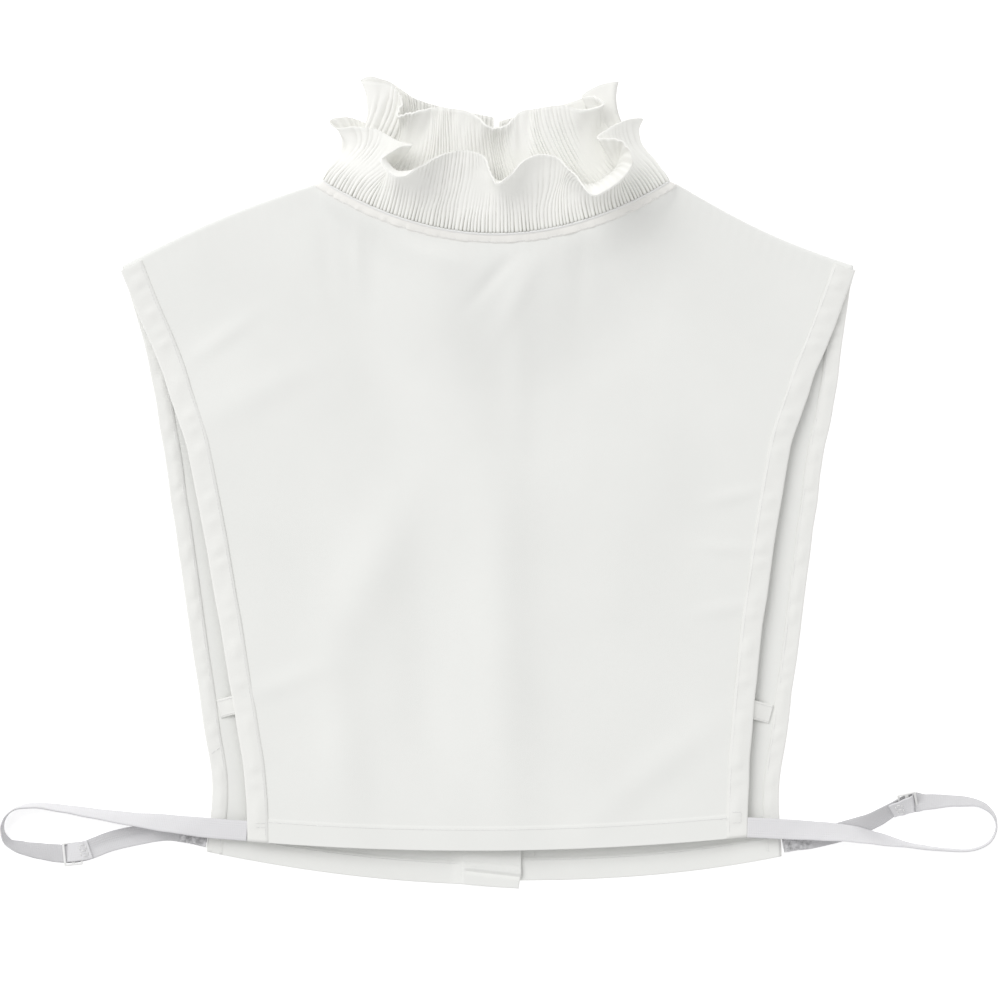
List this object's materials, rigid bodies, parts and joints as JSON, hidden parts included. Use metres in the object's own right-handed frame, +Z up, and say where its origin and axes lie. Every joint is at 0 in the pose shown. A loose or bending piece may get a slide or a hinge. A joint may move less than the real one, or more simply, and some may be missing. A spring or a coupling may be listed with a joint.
{
  "type": "ruffled collar",
  "caption": "Detachable false collar: a pleated ruffled stand collar on a short cotton bib with bound armhole edges, side tabs and elastic side straps, lying on its back.",
  "frame": {"origin": "centre of the bounding box, on the surface that the garment lies on", "axes": "+X to the viewer's right across the shoulders, +Y from the hems to the collar, +Z up from the surface"},
  "size_m": [0.4982, 0.406, 0.0523],
  "materials": {
    "cotton": "plain woven off-white cotton",
    "pleated_cotton": "fine heat-set pleats",
    "binding": "folded and edge-stitched",
    "elastic": "ribbed strap elastic",
    "slider_plastic": "moulded",
    "button_plastic": "turned and polished"
  },
  "bodies": {
    "root": {"front_panel": "cotton", "back_panel_left": "cotton", "back_panel_right": "cotton", "binding_front_left": "binding", "binding_back_left": "binding", "binding_front_right": "binding", "binding_back_right": "binding", "neck_band": "binding", "frill_outer": "pleated_cotton", "frill_inner": "pleated_cotton", "strap_left": "elastic", "strap_right": "elastic", "slider_left": "slider_plastic", "slider_right": "slider_plastic", "side_tab_left": "binding", "side_tab_right": "binding", "nape_button": "button_plastic"}
  },
  "joints": []
}
